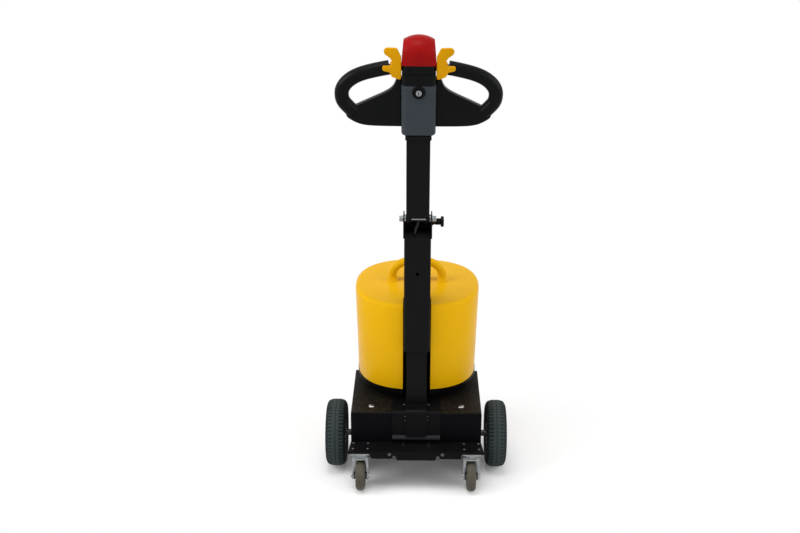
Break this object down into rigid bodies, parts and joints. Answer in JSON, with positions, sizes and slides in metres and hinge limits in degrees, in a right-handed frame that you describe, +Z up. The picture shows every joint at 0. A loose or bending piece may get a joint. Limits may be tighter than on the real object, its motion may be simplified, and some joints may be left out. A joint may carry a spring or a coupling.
{
  "type": "pedestrian electric tow tractor",
  "caption": "Walk-behind electric tow tractor with a folding tiller mast, yellow battery drum, black chassis, drive wheels and swivel castors.",
  "frame": {"origin": "on the floor under the middle of the whole machine's box", "axes": "+Z up, +Y forwards away from the operator, +X to the operator's right"},
  "size_m": [0.4358, 0.415, 1.0626],
  "materials": {
    "chassis_paint": "satin",
    "mast_paint": "satin",
    "zinc": "satin",
    "steel": "satin",
    "shaft_black": "matte",
    "casting": "matte",
    "motor_paint": "satin",
    "drum_yellow": "gloss",
    "tray_black": "matte",
    "battery_case": "matte",
    "housing_grey": "matte",
    "handle_black": "matte",
    "button_red": "gloss",
    "paddle_yellow": "gloss",
    "rim_grey": "satin",
    "tyre_rubber": "matte",
    "castor_rubber": "matte",
    "castor_core": "matte",
    "cable_sheath": "matte"
  },
  "bodies": {
    "chassis": {"base_plate": "chassis_paint", "hood": "chassis_paint", "saddle_plate": "chassis_paint", "mast_strap": "chassis_paint", "mast_post": "mast_paint", "lower_mast": "mast_paint", "mast_clevis": "mast_paint", "pivot_bolt": "zinc", "index_plunger": "zinc", "control_cable": "cable_sheath", "drum_cover": "drum_yellow", "lifting_hoop": "drum_yellow", "drum_tray": "tray_black", "battery_block": "battery_case", "transaxle": "casting", "drive_motor": "motor_paint", "tow_hitch": "chassis_paint", "castor_plate_left": "zinc", "castor_plate_right": "zinc"},
    "tiller": {"upper_mast": "mast_paint", "neck_housing": "housing_grey", "head_block": "handle_black", "belly_button": "button_red", "key_switch": "steel", "handle_left": "handle_black", "handle_right": "handle_black", "paddle_left": "paddle_yellow", "paddle_right": "paddle_yellow"},
    "drive_wheel_left": {"half_shaft_left": "shaft_black", "rim_left": "rim_grey", "tyre_left": "tyre_rubber"},
    "castor_left": {"castor_fork_left": "zinc", "castor_axle_left": "zinc"},
    "castor_wheel_left": {"castor_hub_left": "castor_core", "castor_tread_left": "castor_rubber"},
    "drive_wheel_right": {"half_shaft_right": "shaft_black", "rim_right": "rim_grey", "tyre_right": "tyre_rubber"},
    "castor_right": {"castor_fork_right": "zinc", "castor_axle_right": "zinc"},
    "castor_wheel_right": {"castor_hub_right": "castor_core", "castor_tread_right": "castor_rubber"}
  },
  "joints": [
    {"name": "mast_fold", "type": "hinge", "parent": "chassis", "child": "tiller", "pos_m": [0, -0.0785, 0.6435], "axis": [1, 0, 0], "range_deg": [0, 90], "deforming": ["control_cable"]},
    {"name": "drive_wheel_left_spin", "type": "hinge", "parent": "chassis", "child": "drive_wheel_left", "pos_m": [-0.1934, -0.0435, 0.081], "axis": [1, 0, 0], "continuous": true},
    {"name": "castor_left_swivel", "type": "hinge", "parent": "chassis", "child": "castor_left", "pos_m": [-0.1305, -0.1575, 0.082], "axis": [0, 0, 1], "continuous": true},
    {"name": "castor_wheel_left_spin", "type": "hinge", "parent": "castor_left", "child": "castor_wheel_left", "pos_m": [-0.1305, -0.1715, 0.036], "axis": [1, 0, 0], "continuous": true},
    {"name": "drive_wheel_right_spin", "type": "hinge", "parent": "chassis", "child": "drive_wheel_right", "pos_m": [0.1934, -0.0435, 0.081], "axis": [1, 0, 0], "continuous": true},
    {"name": "castor_right_swivel", "type": "hinge", "parent": "chassis", "child": "castor_right", "pos_m": [0.1305, -0.1575, 0.082], "axis": [0, 0, 1], "continuous": true},
    {"name": "castor_wheel_right_spin", "type": "hinge", "parent": "castor_right", "child": "castor_wheel_right", "pos_m": [0.1305, -0.1715, 0.036], "axis": [1, 0, 0], "continuous": true}
  ]
}
